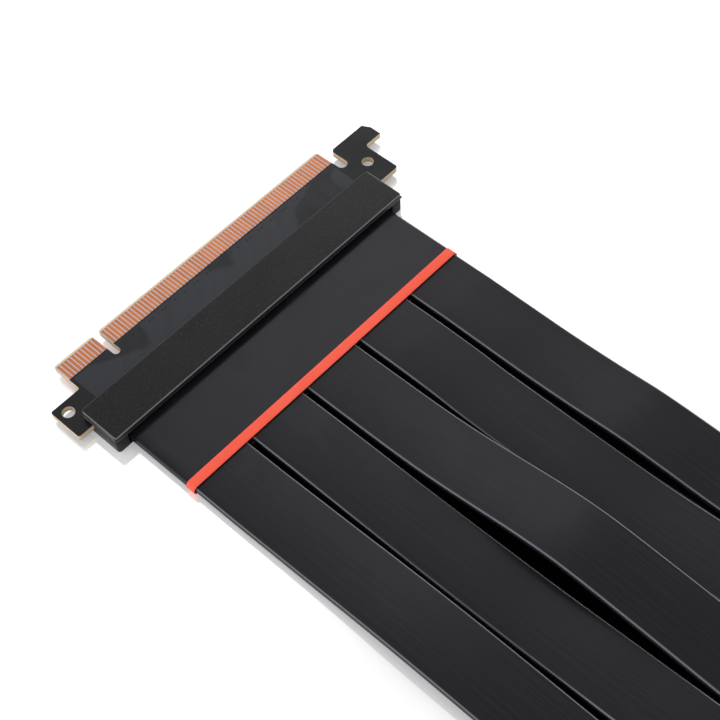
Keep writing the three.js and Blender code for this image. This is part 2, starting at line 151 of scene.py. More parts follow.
def surface(name):
    """A new material: itself, its nodes, and where its patterns are read from"""
    material = bpy.data.materials.new(name)
    material.use_nodes = True
    tree = material.node_tree
    return material, tree, add(tree, "ShaderNodeTexCoord").outputs["Object"]


def connect(tree, source, target):
    tree.links.new(source, target)


def finished(material, colour, rough, height, depth, plain=None):
    """The material with its colour and roughness, a relief that stands depth millimetres high
    where the height is 1, and the values that are the same all over"""
    tree = material.node_tree
    feeds = {"Height": height, "Distance": depth * MM, "Strength": 1.0}
    bump = add(tree, "ShaderNodeBump", feeds).outputs[0]
    shader = tree.nodes["Principled BSDF"].inputs
    for socket, source in (("Base Color", colour), ("Roughness", rough), ("Normal", bump)):
        connect(tree, source, shader[socket])
    for socket, value in (plain or {}).items():
        shader[socket].default_value = value
    return material


def smooth_line(points, steps):
    """Points on the smooth curve through those given, evenly bent however far apart they are"""
    guide = [2 * points[0] - points[1], *points, 2 * points[-1] - points[-2]]
    line = [points[0]]
    for before, start, end, after in zip(guide, guide[1:], guide[2:], guide[3:]):
        gaps = [math.sqrt((b - a).length) for a, b in
                ((before, start), (start, end), (end, after))]
        leave = ((start - before) / gaps[0] - (end - before) / (gaps[0] + gaps[1])) * gaps[1]
        leave += end - start
        reach = ((after - end) / gaps[2] - (after - start) / (gaps[1] + gaps[2])) * gaps[1]
        reach += end - start
        line += interpolate_bezier(start, start + leave / 3, end - reach / 3, end, steps)[1:]
    return line


def ribbon_route(index):
    """The points that a ribbon passes, from inside the plug's cover to inside the slot's"""
    x = CABLE_AXIS + (index - 2) * RIBBON_PITCH

    def at(y, rise=0, drift=0):
        return Vector((x + drift, y, RIBBON_LEVEL + rise)) * MM

    loose = [at(PLUG_MOUTH - share * CABLE_RUN, rise, drift)
             for share, rise, drift in LOOSE_RUNS[index]]
    return [at(PLUG_MOUTH + RIBBON_IN_COVER), at(PLUG_MOUTH - STRAIGHT_RUN),
            at(PLUG_MOUTH - 2 * STRAIGHT_RUN), *loose, at(SLOT_MOUTH + 2 * STRAIGHT_RUN),
            at(SLOT_MOUTH + STRAIGHT_RUN), at(SLOT_MOUTH - RIBBON_IN_COVER)]


def line_curve(name, line):
    curve = bpy.data.curves.new(name, "CURVE")
    curve.dimensions = "3D"
    spline = curve.splines.new("POLY")
    spline.points.add(len(line) - 1)
    for point, spot in zip(spline.points, line):
        point.co = (*spot, 1)
    return curve


def hand_over(tree, made, finish, result):
    """Ends a tree of geometry nodes with real faces in their material"""
    whole = add(tree, "GeometryNodeRealizeInstances", {"Geometry": made})
    painted = add(tree, "GeometryNodeSetMaterial",
                  {"Geometry": whole.outputs[0], "Material": finish})
    connect(tree, painted.outputs[0], result)


def flat_strip_tree():
    """Sweeps a flat section with round edges along a line. The map says where a point lies across
    and along the strip, in metres."""
    tree, given, result = node_group(
        "GeometryNodeTree", "flat strip along a line",
        {"Line": "Geometry", "Width": 0.01, "Thickness": 0.001, "Edge radius": 0.0004,
         "Finish": "Material"}, {"Strip": "Geometry"})
    section = add(tree, "GeometryNodeCurvePrimitiveQuadrilateral",
                  {"Width": given["Width"], "Height": given["Thickness"]})
    round_section = add(tree, "GeometryNodeFilletCurve",
                        {"Curve": section.outputs[0], "Radius": given["Edge radius"], "Count": 6},
                        mode="POLY")
    spot = axes(tree, add(tree, "GeometryNodeInputPosition").outputs[0])
    across = add(tree, "GeometryNodeCaptureAttribute", {"Geometry": round_section.outputs[0]})
    across.capture_items.new("FLOAT", "Across")
    connect(tree, spot["X"], across.inputs["Across"])
    upright = add(tree, "GeometryNodeSetCurveNormal", {"Curve": given["Line"]}, mode="Z_UP")
    length = add(tree, "GeometryNodeSplineParameter").outputs["Length"]
    along = add(tree, "GeometryNodeCaptureAttribute", {"Geometry": upright.outputs[0]})
    along.capture_items.new("FLOAT", "Along")
    connect(tree, length, along.inputs["Along"])
    swept = add(tree, "GeometryNodeCurveToMesh",
                {"Curve": along.outputs[0], "Profile Curve": across.outputs[0], "Fill Caps": True})
    pair = add(tree, "ShaderNodeCombineXYZ",
               {"X": across.outputs["Across"], "Y": along.outputs["Along"]})
    mapped = add(tree, "GeometryNodeStoreNamedAttribute",
                 {"Geometry": swept.outputs[0], "Name": "UVMap", "Value": pair.outputs[0]},
                 data_type="FLOAT2", domain="CORNER")
    smooth = add(tree, "GeometryNodeSetShadeSmooth", {"Geometry": mapped.outputs[0]})
    hand_over(tree, smooth.outputs[0], given["Finish"], result["Strip"])
    return tree


def mesh_piece(name, mesh, *materials):
    piece = bpy.data.objects.new(name, mesh)
    scene.collection.objects.link(piece)
    for material in materials:
        mesh.materials.append(material)
    return piece


def grown(name, tree, source, **sizes):
    """The plain mesh that a tree of nodes makes from a curve or a mesh"""
    maker = mesh_piece(name + "_source", source)
    modifier = maker.modifiers.new("shape", "NODES")
    modifier.node_group = tree
    for socket in tree.interface.items_tree:
        key = socket.name.lower().replace(" ", "_")
        if socket.in_out == "INPUT" and key in sizes:
            modifier[socket.identifier] = sizes.pop(key)
    assert not sizes, sizes
    evaluated = maker.evaluated_get(bpy.context.evaluated_depsgraph_get())
    mesh = bpy.data.meshes.new_from_object(evaluated)
    bpy.data.objects.remove(maker)
    return mesh_piece(name, mesh)


def fitted(piece, slot, *nodes, body="riser"):
    """Puts a finished piece on its body, in place of the plain solids that it stands for"""
    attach(piece, body)
    if nodes:
        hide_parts(*nodes)


def streaks_group():
    """Long faint streaks, as the cores under a jacket leave in it, and as drawing leaves on it"""
    tree, given, result = node_group(
        "ShaderNodeTree", "long streaks",
        {"Across": 0.0, "Along": 0.0, "Spacing": 0.0005, "Length": 0.03},
        {"Height": "Float", "Tone": "Float"})
    spot = add(tree, "ShaderNodeCombineXYZ",
               {"X": maths(tree, "DIVIDE", given["Across"], given["Spacing"]),
                "Y": maths(tree, "DIVIDE", given["Along"], given["Length"])})
    grain = add(tree, "ShaderNodeTexNoise",
                {"Vector": spot.outputs[0], "Scale": 1.0, "Detail": 4.0, "Roughness": 0.6},
                noise_dimensions="2D").outputs["Fac"]
    connect(tree, grain, result["Height"])
    connect(tree, levels(tree, grain, 0.35, 0.7), result["Tone"])
    return tree


def handling_group():
    """Soft smudges and a little dust on a surface that has been handled"""
    tree, given, result = node_group(
        "ShaderNodeTree", "handling",
        {"Place": "Vector", "Smudge size": 0.012, "Dust spacing": 0.004},
        {"Smudge": "Float", "Dust": "Float"})
    smudge = mottle(tree, given["Place"], maths(tree, "DIVIDE", 1.0, given["Smudge size"]), 3.0,
                    Distortion=1.2)
    connect(tree, levels(tree, smudge, 0.4, 0.68), result["Smudge"])
    specks = add(tree, "ShaderNodeTexVoronoi",
                 {"Vector": given["Place"],
                  "Scale": maths(tree, "DIVIDE", 1.0, given["Dust spacing"])})
    chance = add(tree, "ShaderNodeSeparateColor", {0: specks.outputs["Color"]}).outputs[0]
    chosen = maths(tree, "GREATER_THAN", chance, 0.7)
    near = levels(tree, specks.outputs["Distance"], 0.014, 0.03, 1.0, 0.0)
    connect(tree, maths(tree, "MULTIPLY", chosen, near), result["Dust"])
    return tree


def group(tree, shared, feeds):
    return add(tree, "ShaderNodeGroup", feeds, node_tree=shared).outputs


def streaked(tree, across, along, spacing, length):
    """The streaks at a material's own scale, in millimetres"""
    return group(tree, streaks, {"Across": across, "Along": along,
                                 "Spacing": spacing * MM, "Length": length * MM})


def handled(tree, place, smudge, dust):
    """The smudges and the dust at a material's own scale, in millimetres"""
    return group(tree, handling, {"Place": place, "Smudge size": smudge * MM,
                                  "Dust spacing": dust * MM})


def dusted(tree, tone, dust, share, grey):
    """A colour under specks of grey dust"""
    return blend(tree, maths(tree, "MULTIPLY", dust, share), tone, (grey, grey, grey, 1))


def jacket_material():
    """Thin black film over the pairs, with a painted highlight, a paler line, where it turns down
    at the sides
    """
    material, tree, place = surface("ribbon jacket")
    at = axes(tree, add(tree, "ShaderNodeUVMap", uv_map="UVMap").outputs[0])
    drawn = streaked(tree, at["X"], at["Y"], 0.35, 45)
    cores = maths(tree, "COSINE", maths(tree, "MULTIPLY", at["X"],
                                        2 * math.pi * RIBBON_PAIRS / (RIBBON_WIDTH * MM)))
    worn = handled(tree, place, 14, 5)
    tone = blend(tree, drawn["Tone"], JACKET_BLACK, JACKET_LIGHTER)
    aside = maths(tree, "ABSOLUTE", at["X"])
    # The paler line along each side, where the jacket turns down, is a painted highlight
    rim = maths(tree, "MULTIPLY", levels(tree, aside, HIGHLIGHT_START * MM, HIGHLIGHT_MIDDLE * MM),
                levels(tree, aside, HIGHLIGHT_MIDDLE * MM, HIGHLIGHT_END * MM, 1.0, 0.0))
    tone = dusted(tree, blend(tree, rim, tone, JACKET_PAINTED_HIGHLIGHT), worn["Dust"], 0.25, 0.1)
    rough = maths(tree, "MULTIPLY_ADD", worn["Smudge"], 0.05, 0.28)
    return finished(material, tone, maths(tree, "MULTIPLY_ADD", drawn["Tone"], 0.05, rough),
                    maths(tree, "MULTIPLY_ADD", cores, 0.16, drawn["Height"]), 0.012, SATIN)


streaks = streaks_group()
handling = handling_group()
jacket = jacket_material()
flat_strip = flat_strip_tree()
for index in range(len(LOOSE_RUNS)):
    route = ribbon_route(index)
    line = smooth_line(route, 2 * PATH_STEP + 1)
    piece = grown(f"ribbon_jacket_{index + 1}", flat_strip, line_curve("ribbon line", line),
                  width=RIBBON_WIDTH * MM, thickness=RIBBON_THICKNESS * MM,
                  edge_radius=RIBBON_EDGE * MM, finish=jacket)
    fitted(piece, "ribbon_jacket", f"ribbon_{index + 1}")


# Sleeves. At each cover a thin black film sleeve gathers the five ribbons into one flat bundle.
# It is shrunk on, so it rounds the bundle's sides and follows it with the slightest waves.
SLEEVE_WIDTH = 83.8
SLEEVE_HEIGHT = 2.2
SLEEVE_WALL = 0.2
SLEEVE_LENGTH = 22.6
SLEEVE_SIDE = 1.09
SLEEVE_WAVE = 0.02
WAVE_ACROSS = 9
WAVE_ALONG = 7
MIDDLE_WAVE = 0.7
SECTION_STEP = 2
RING_STEP = 0.9
ENDS = {
    "plug": Matrix.Translation(Vector((CABLE_AXIS, PLUG_MOUTH, 0)) * MM),
    "slot": (Matrix.Translation(Vector((CABLE_AXIS, SLOT_MOUTH, 0)) * MM)
             @ Matrix.Rotation(math.pi, 4, "Z")),
}


def outline(corners, steps=6):
    """Straight sides between corners given as x, y and an optional radius, in millimetres"""
    points = []
    for index, corner in enumerate(corners):
        spot = Vector(corner[:2])
        radius = corner[2] if len(corner) > 2 else 0
        if not radius:
            points.append(spot)
            continue
        back = (Vector(corners[index - 1][:2]) - spot).normalized()
        ahead = (Vector(corners[(index + 1) % len(corners)][:2]) - spot).normalized()
        half = back.angle(ahead) / 2
        centre = spot + (back + ahead).normalized() * (radius / math.sin(half))
        start = spot + back * (radius / math.tan(half)) - centre
        swing = (math.pi - 2 * half) * (1 if back.cross(ahead) < 0 else -1)
        for step in range(steps + 1):
            points.append(centre + start @ Matrix.Rotation(-swing * step / steps, 2))
    return points


def rounded(width, height, radius, steps=6):
    """A rectangle with round corners, round its own middle"""
    x, y = width / 2, height / 2
    return outline([(-x, -y, radius), (x, -y, radius), (x, y, radius), (-x, y, radius)], steps)


def smooth_faces(mesh, sharp_from=35):
    mesh.shade_smooth()
    mesh.set_sharp_from_angle(angle=math.radians(sharp_from))


def plain_mesh(made, name):
    """The mesh that was built up in made, which is freed"""
    mesh = bpy.data.meshes.new(name)
    made.to_mesh(mesh)
    made.free()
    return mesh


def film_ring(name, place, finish, proud, wall, length):
    """A flat ring of film round the bundle, which may lie proud of the sleeve. Its section is
    drawn out in fine steps from the mouth, and waves a little, most along the ribbons' middles."""
    height = SLEEVE_HEIGHT + 2 * proud
    section = rounded(SLEEVE_WIDTH + 2 * proud, height, SLEEVE_SIDE + proud, 8)
    section = [a.lerp(b, step / parts) for a, b in zip(section, section[1:] + section[:1])
               for parts in [max(1, round((b - a).length / SECTION_STEP))]
               for step in range(parts)]
    rings = max(2, round(length / RING_STEP))
    made = bmesh.new()
    rows = []
    for ring in range(rings + 1):
        y = length * ring / rings
        row = []
        for point in section:
            lift = noise.noise(Vector((point.x / WAVE_ACROSS, y / WAVE_ALONG, height)))
            lift -= MIDDLE_WAVE * abs(math.cos(math.pi * point.x / RIBBON_PITCH)) ** 24
            z = RIBBON_LEVEL + point.y + math.copysign(SLEEVE_WAVE * lift, point.y)
            row.append(made.verts.new(Vector((point.x, y, z)) * MM))
        rows.append(row)
    for row, after in zip(rows, rows[1:]):
        for index in range(len(section)):
            following = (index + 1) % len(section)
            made.faces.new((row[index], after[index], after[following], row[following]))
    bmesh.ops.recalc_face_normals(made, faces=made.faces)
    mesh = plain_mesh(made, name)
    mesh.shade_smooth()
    mesh.transform(place)
    piece = mesh_piece(name, mesh, finish)
    shell = piece.modifiers.new("wall", "SOLIDIFY")
    shell.thickness = wall * MM
    shell.offset = -1
    rim = piece.modifiers.new("rim", "BEVEL")
    rim.width = 0.3 * wall * MM
    rim.segments = 2
    rim.limit_method = "ANGLE"
    return piece


def film(name, base, lighter, rough):
    """Shrunk film, with faint streaks across the cable"""
    material, tree, place = surface(name)
    at = axes(tree, place)
    drawn = streaked(tree, at["Y"], at["X"], 0.9, 30)
    worn = handled(tree, place, 16, 3)
    tone = dusted(tree, blend(tree, worn["Smudge"], base, lighter), worn["Dust"], 0.3, 0.25)
    return finished(material, tone, maths(tree, "MULTIPLY_ADD", worn["Smudge"], 0.07, rough),
                    drawn["Height"], 0.008, SATIN)


sleeve_film = film("sleeve film", (0.0076, 0.0074, 0.0118, 1), (0.0100, 0.0098, 0.0146, 1), 0.22)
for end, place in ENDS.items():
    sleeve = film_ring(f"{end}_sleeve_film", place, sleeve_film, 0, SLEEVE_WALL, SLEEVE_LENGTH)
    fitted(sleeve, "sleeve_film", f"{end}_sleeve")


# Bands. A strip of orange-red film is wrapped round each sleeve at its mouth, where the ribbons
# come out. It stands a hair proud of the sleeve.
BAND_LENGTH = 2.45
BAND_PROUD = 0.2
BAND_WALL = 0.18
ORANGE = (0.97, 0.105, 0.058, 1)
ORANGE_LIGHTER = (0.99, 0.125, 0.07, 1)

band_film = film("band film", ORANGE, ORANGE_LIGHTER, 0.42)
for end, place in ENDS.items():
    band = film_ring(f"{end}_band_film", place, band_film, BAND_PROUD, BAND_WALL, BAND_LENGTH)
    fitted(band, "orange_band", f"{end}_band")


# Covers. Two shells moulded in black plastic close round the back edge of each board. The lower
# one carries the board on two pegs and has the mouth for the sleeve, the upper one is pressed on.
# Their faces have a fine eroded grain, and only the rims are smooth, with a painted highlight along
# them.
COVER_LENGTH = 90.7
COVER_DEPTH = 11.4
COVER_HEIGHT = 5.5
COVER_FRONT = 20.1
COVER_BACK = COVER_FRONT + COVER_DEPTH
COVER_WALL = 1.0
COVER_FLOOR = 0.7
COVER_ROOF = 0.9
COVER_CORNER = 0.7
COVER_EDGE = 0.25
PARTING = 3.9
BOARD_BOTTOM = 1.53
BOARD_TOP = 3.1
BOARD_IN_COVER = 3.4
BOARD_GAP = 0.3
MOUTH_PLAY = 0.3
PEG_INSET = 2.45
PEG_FROM_BACK = 1.9
PEG = 1.2
CUT_EDGE = 0.09
CATCH_FRONT = 0.3
CATCH_LENGTH = 1.0
CATCH_HEIGHT = 0.5
CATCH_GAP = 0.02
CATCH_ROOT = 0.8
CATCH_PROUD = 0.5
MOULDED = {**SATIN, "Sheen Weight": 0.25, "Sheen Roughness": 0.3}
ALONG_X = Matrix(((0, 0, 1), (1, 0, 0), (0, 1, 0)))
ALONG_Y = Matrix(((1, 0, 0), (0, 0, 1), (0, 1, 0)))


def prism(loops, low, high, turn=Matrix.Identity(3)):
    """A solid with straight sides between two levels. The first loop is its outline and the
    others are holes. The turn says which way it is drawn out."""
    made = bmesh.new()
    layers = [[[made.verts.new(turn @ Vector((point.x, point.y, level)) * MM) for point in loop]
               for loop in loops] for level in (low, high)]
    corners = tessellate_polygon([[Vector((point.x, point.y, 0)) for point in loop]
                                  for loop in loops])
    for layer in layers:
        spots = [spot for loop in layer for spot in loop]
        for corner in corners:
            made.faces.new([spots[index] for index in corner])
    for lower, upper in zip(*layers):
        for index in range(len(lower)):
            following = (index + 1) % len(lower)
            made.faces.new((lower[index], lower[following], upper[following], upper[index]))
    bmesh.ops.recalc_face_normals(made, faces=made.faces)
    return plain_mesh(made, "prism")


def settled(piece):
    """The piece with its modifiers worked into its mesh"""
    evaluated = piece.evaluated_get(bpy.context.evaluated_depsgraph_get())
    mesh = bpy.data.meshes.new_from_object(evaluated)
    piece.modifiers.clear()
    piece.data = mesh
    return piece


def eased(piece, width, segments=2, finish=-1):
    """The piece with its sharp edges rounded, which may get a finish of their own"""
    easing = piece.modifiers.new("easing", "BEVEL")
    easing.width = width * MM
    easing.segments = segments
    easing.limit_method = "ANGLE"
    easing.angle_limit = math.radians(40)
    easing.use_clamp_overlap = False
    easing.material = finish
    return settled(piece)


def combined(piece, meshes, operation="DIFFERENCE"):
    """The piece with other solids cut from it or joined to it"""
    for mesh in meshes:
        other = mesh_piece("other", mesh)
        step = piece.modifiers.new("step", "BOOLEAN")
        step.operation = operation
        step.solver = "MANIFOLD"
        step.object = other
        settled(piece)
        bpy.data.objects.remove(other)
    return piece


def box_mesh(x, y, z):
    corners = ((x[0], y[0]), (x[1], y[0]), (x[1], y[1]), (x[0], y[1]))
    return prism([[Vector(corner) for corner in corners]], *z)


def circle(x, y, radius, steps=28):
    return [Vector((x + radius * math.cos(math.tau * step / steps),
                    y + radius * math.sin(math.tau * step / steps))) for step in range(steps)]


def cover_blank(name):
    """The block of a whole cover. Its eased edges get the rim's finish, a painted highlight, but
    not at the back.
    """
    plan = [point + Vector((0, COVER_FRONT + COVER_DEPTH / 2))
            for point in rounded(COVER_LENGTH, COVER_DEPTH, COVER_CORNER, 8)]
    blank = mesh_piece(name, prism([plan], 0, COVER_HEIGHT), cover_plastic, cover_rim_highlight)
    eased(blank, COVER_EDGE, 4, finish=1)
    for face in blank.data.polygons:
        if face.normal.y > 0.05:
            face.material_index = 0
    return blank


def past_parting(board_face, side):
    """All above or below the line between the shells, which steps to the board at the back"""
    step = COVER_BACK - BOARD_IN_COVER - BOARD_GAP
    beyond = 60
    corners = [(0, PARTING), (step, PARTING), (step, board_face), (beyond, board_face),
               (beyond, side * beyond), (0, side * beyond)]
    return prism([[Vector(corner) for corner in corners]], -beyond, beyond, ALONG_X)


def cover_hollow():
    half = COVER_LENGTH / 2 - COVER_WALL
    return box_mesh((-half, half), (COVER_FRONT + COVER_WALL, COVER_BACK - COVER_WALL),
                    (COVER_FLOOR, COVER_HEIGHT - COVER_ROOF))


def cover_upper(name):
    return combined(cover_blank(name), [past_parting(BOARD_TOP, -1), cover_hollow()])


def cover_lower(name):
    mouth, right = SLEEVE_WIDTH / 2 + MOUTH_PLAY, COVER_LENGTH / 2
    opening = box_mesh((-mouth, mouth), (0, COVER_FRONT + 2 * COVER_WALL),
                       (COVER_FLOOR, COVER_HEIGHT))
    piece = combined(cover_blank(name), [past_parting(BOARD_BOTTOM, 1), cover_hollow(), opening])
    pegs = [prism([circle(side * (right - PEG_INSET), COVER_BACK - PEG_FROM_BACK, PEG / 2)],
                  COVER_FLOOR / 2, COVER_HEIGHT - COVER_ROOF - BOARD_GAP) for side in (-1, 1)]
    front = COVER_FRONT + CATCH_FRONT
    catch = box_mesh((right - CATCH_ROOT, right + CATCH_PROUD), (front, front + CATCH_LENGTH),
                     (PARTING - CATCH_HEIGHT, PARTING - CATCH_GAP))
    return combined(piece, [*pegs, catch], "UNION")


def grain_group():
    """The fine grain of an eroded mould, and how its peaks catch dust and light"""
    tree, given, result = node_group(
        "ShaderNodeTree", "moulded grain", {"Place": "Vector", "Grain": 0.0003},
        {"Height": "Float", "Peaks": "Float"})
    scale = maths(tree, "DIVIDE", 1.0, given["Grain"])
    fine = mottle(tree, given["Place"], scale, 3.0, Roughness=0.55)
    pits = add(tree, "ShaderNodeTexVoronoi",
               {"Vector": given["Place"], "Scale": maths(tree, "MULTIPLY", scale, 0.6)},
               feature="SMOOTH_F1")
    height = maths(tree, "MULTIPLY_ADD", pits.outputs["Distance"], 0.5, fine)
    connect(tree, height, result["Height"])
    connect(tree, levels(tree, height, 0.72, 0.98), result["Peaks"])
    return tree


def moulded(name, base, peak, rough, grain, depth):
    """Moulded plastic with an eroded grain, whose size and depth are in millimetres"""
    material, tree, place = surface(name)
    grained = group(tree, moulded_grain, {"Place": place, "Grain": grain * MM})
    worn = handled(tree, place, 18, 2.5)
    tone = dusted(tree, blend(tree, grained["Peaks"], base, peak), worn["Dust"], 0.3, 0.2)
    return finished(material, tone, maths(tree, "MULTIPLY_ADD", worn["Smudge"], 0.08, rough),
                    grained["Height"], depth, MOULDED)


moulded_grain = grain_group()
cover_plastic = moulded("cover plastic", (0.0055, 0.0055, 0.0060, 1), (0.017, 0.017, 0.0180, 1),
                        0.5, 0.32, 0.03)
# The rims' light grey colour is a painted highlight; their lower roughness is real
cover_rim_highlight = moulded("smooth cover rim", (0.14, 0.14, 0.145, 1), (0.18, 0.18, 0.185, 1),
                    0.3, 0.2, 0.004)
for end, place in ENDS.items():
    for half, maker in (("top", cover_upper), ("bottom", cover_lower)):
        shell = eased(maker(f"{end}_cover_{half}_shell"), CUT_EDGE)
        smooth_faces(shell.data)
        shell.data.transform(place)
        fitted(shell, "cover_plastic", f"{end}_cover_{half}")


# Wires. Inside the covers the jackets are stripped back, and the insulated pairs of each ribbon
# fork over and under the board's edge to their solder pads.
def insulation_material():
    """Cream plastic, drawn along the wires"""
    material, tree, place = surface("pair insulation")
    at = axes(tree, place)
    drawn = streaked(tree, at["X"], at["Y"], 0.4, 4)
    tone = blend(tree, drawn["Tone"], (0.52, 0.50, 0.46, 1), (0.66, 0.64, 0.60, 1))
    return finished(material, tone, maths(tree, "MULTIPLY_ADD", drawn["Tone"], 0.15, 0.35),
                    drawn["Height"], 0.03)


def coated(piece, material):
    """Gives the whole piece one finish"""
    piece.data.materials.clear()
    piece.data.materials.append(material)


pair_insulation = insulation_material()
for end in ENDS:
    for index in range(len(LOOSE_RUNS)):
        coated(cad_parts[f"{end}_wires_{index + 1}"], pair_insulation)


# Plug board. A glass-epoxy board under black solder mask, cut to the outline of a card's edge,
# with a hook at its right end and an ear with a hole at each side. The mask stops short of the
# contacts, and the tip is ground to a slope on both faces, which lays the laminate bare.
PLUG_TIP = 149.925
TONGUE_LEFT = -44.95
TONGUE_RIGHT = 39.35
KEY_LEFT = -33.75
KEY_WIDTH = 1.9
KEY_DEPTH = 8.45
SHOULDER = 9.05
BOARD_DEPTH = 18.5
EAR_LEFT = -53.35
EAR_RIGHT = 48.75
EAR_TOP = 7.85
EAR_HOLE = 1.5
EAR_HOLE_DROP = 11.9
EAR_HOLE_FROM_LEFT = 2.7
EAR_HOLE_FROM_RIGHT = 3.5
HOOK_LEFT = 42.05
HOOK_RIGHT = 54.15
HOOK_TOP = 2.65
HOOK_CUT = 0.65
HOOK_NOSE = (1.1, 2.05)
HOOK_SLOT_DEPTH = 8.95
HOOK_SLOT_END = 1.32
KEY_END = 0.93
TIP_CORNER = 0.7
CORNER = 0.6
PEG_PLAY = 0.3
SLOPE_LENGTH = 1.0
SLOPE_DROP = 0.42
PAD_START = 1.0
PAD_LENGTH = 4.45
MASK_EDGE = 5.5
COPPER_START = 5.95
COPPER_INSET = 0.8
COPPER_EDGE = 0.1
MASK_BLACK = (0.0040, 0.0044, 0.0060, 1)
# The mask's lighter tones over copper are partly its own tone and partly painted sheen
MASK_OVER_COPPER_AND_SHEEN = (0.0100, 0.0108, 0.0145, 1)
MASK_OVER_PLANE_AND_SHEEN = (0.0250, 0.0265, 0.0330, 1)

# Height through the board, from 0 at its underside to 1, and the colour of the layer there
LAMINATE_LAYERS = [
    (0.0, (0.05, 0.04, 0.03)), (0.05, (0.56, 0.43, 0.25)), (0.16, (0.66, 0.53, 0.33)),
    (0.22, (0.40, 0.25, 0.13)), (0.27, (0.70, 0.57, 0.37)), (0.48, (0.74, 0.61, 0.41)),
    (0.53, (0.46, 0.30, 0.16)), (0.58, (0.72, 0.58, 0.39)), (0.78, (0.70, 0.55, 0.36)),
    (0.83, (0.42, 0.27, 0.15)), (0.88, (0.70, 0.58, 0.42)), (0.97, (0.56, 0.46, 0.33)),
    (1.0, (0.06, 0.05, 0.05)),
]


def plug_outline():
    tip, back = PLUG_TIP, PLUG_TIP - BOARD_DEPTH
    shoulder, key, hook = tip - SHOULDER, tip - KEY_DEPTH, tip - HOOK_TOP
    ear, slot_end = tip - EAR_TOP, tip - HOOK_SLOT_DEPTH
    return outline([
        (EAR_LEFT, back, CORNER), (EAR_LEFT, shoulder, CORNER), (TONGUE_LEFT, shoulder, CORNER),
        (TONGUE_LEFT, tip, TIP_CORNER), (KEY_LEFT, tip, TIP_CORNER), (KEY_LEFT, key, KEY_END),
        (KEY_LEFT + KEY_WIDTH, key, KEY_END), (KEY_LEFT + KEY_WIDTH, tip, TIP_CORNER),
        (TONGUE_RIGHT, tip, TIP_CORNER), (TONGUE_RIGHT, slot_end, HOOK_SLOT_END),
        (HOOK_LEFT, slot_end, HOOK_SLOT_END), (HOOK_LEFT, hook - HOOK_CUT),
        (HOOK_LEFT + HOOK_CUT, hook), (HOOK_RIGHT - HOOK_NOSE[0], hook),
        (HOOK_RIGHT, hook - HOOK_NOSE[1]), (HOOK_RIGHT, ear), (EAR_RIGHT, ear, 1),
        (EAR_RIGHT, back, CORNER)])


def peg_holes(y):
    """The two holes in a board for the pegs of its cover"""
    aside = COVER_LENGTH / 2 - PEG_INSET
    return [circle(CABLE_AXIS + side * aside, y, PEG / 2 + PEG_PLAY) for side in (-1, 1)]


def board_blank(loops, cuts=()):
    """A board to work on, whose cut sides are bare laminate, the second of its finishes. Its
    faces are also divided across at each of the cuts."""
    made = bmesh.new()
    made.from_mesh(prism(loops, BOARD_BOTTOM, BOARD_TOP))
    for y in cuts:
        everything = made.verts[:] + made.edges[:] + made.faces[:]
        bmesh.ops.bisect_plane(made, geom=everything, plane_co=(0, y * MM, 0), plane_no=(0, 1, 0))
    made.normal_update()
    for face in made.faces:
        if abs(face.normal.z) < 0.5:
            face.material_index = 1
    return made


def plug_board():
    ear_y = PLUG_TIP - EAR_HOLE_DROP
    loops = [plug_outline(), circle(EAR_LEFT + EAR_HOLE_FROM_LEFT, ear_y, EAR_HOLE),
             circle(EAR_RIGHT - EAR_HOLE_FROM_RIGHT, ear_y, EAR_HOLE),
             *peg_holes(PLUG_MOUTH + COVER_BACK - PEG_FROM_BACK)]
    mask_edge, slope_start = PLUG_TIP - MASK_EDGE, PLUG_TIP - SLOPE_LENGTH
    made = board_blank(loops, (mask_edge, slope_start))
    middle = (BOARD_TOP + BOARD_BOTTOM) / 2
    for spot in made.verts:
        past = spot.co.y / MM - slope_start
        if past > 0:
            half = (BOARD_TOP - BOARD_BOTTOM) / 2 - SLOPE_DROP / SLOPE_LENGTH * past
            spot.co.z = (middle + math.copysign(half, spot.co.z / MM - middle)) * MM
    for face in made.faces:
        at = face.calc_center_median() / MM
        on_tongue = TONGUE_LEFT < at.x < TONGUE_RIGHT
        if face.material_index == 0 and on_tongue and at.y > mask_edge:
            face.material_index = 1 if at.y > slope_start else 2
    return plain_mesh(made, "plug board")


def solder_mask_material():
    """Black mask. It is lighter over the sheet of copper behind the contacts, partly its own tone
    and partly painted sheen.
    """
    material, tree, place = surface("solder mask")
    at = axes(tree, place)
    left, right = (TONGUE_LEFT + COPPER_INSET) * MM, (TONGUE_RIGHT - COPPER_INSET) * MM
    front, edge = (PLUG_TIP - COPPER_START) * MM, COPPER_EDGE * MM
    poured = maths(tree, "MULTIPLY", levels(tree, at["X"], left, left + edge),
                   levels(tree, at["X"], right, right + edge, 1.0, 0.0))
    poured = maths(tree, "MULTIPLY", poured, levels(tree, at["Y"], front - edge, front, 1.0, 0.0))
    worn = handled(tree, place, 9, 3)
    # Lighter patches over the copper: partly the copper's own tone, partly painted sheen
    plane_and_sheen = levels(tree, mottle(tree, place, 48.0, 1.0), 0.47, 0.5)
    copper_tone_and_sheen = blend(tree, plane_and_sheen, MASK_OVER_COPPER_AND_SHEEN, MASK_OVER_PLANE_AND_SHEEN)
    tone = dusted(tree, blend(tree, poured, MASK_BLACK, copper_tone_and_sheen), worn["Dust"], 0.3, 0.2)
    weave = mottle(tree, place, 2600.0, 1.0)
    return finished(material, tone, maths(tree, "MULTIPLY_ADD", worn["Smudge"], 0.1, 0.33),
                    maths(tree, "MULTIPLY_ADD", weave, 0.3, poured), 0.02, SATIN)


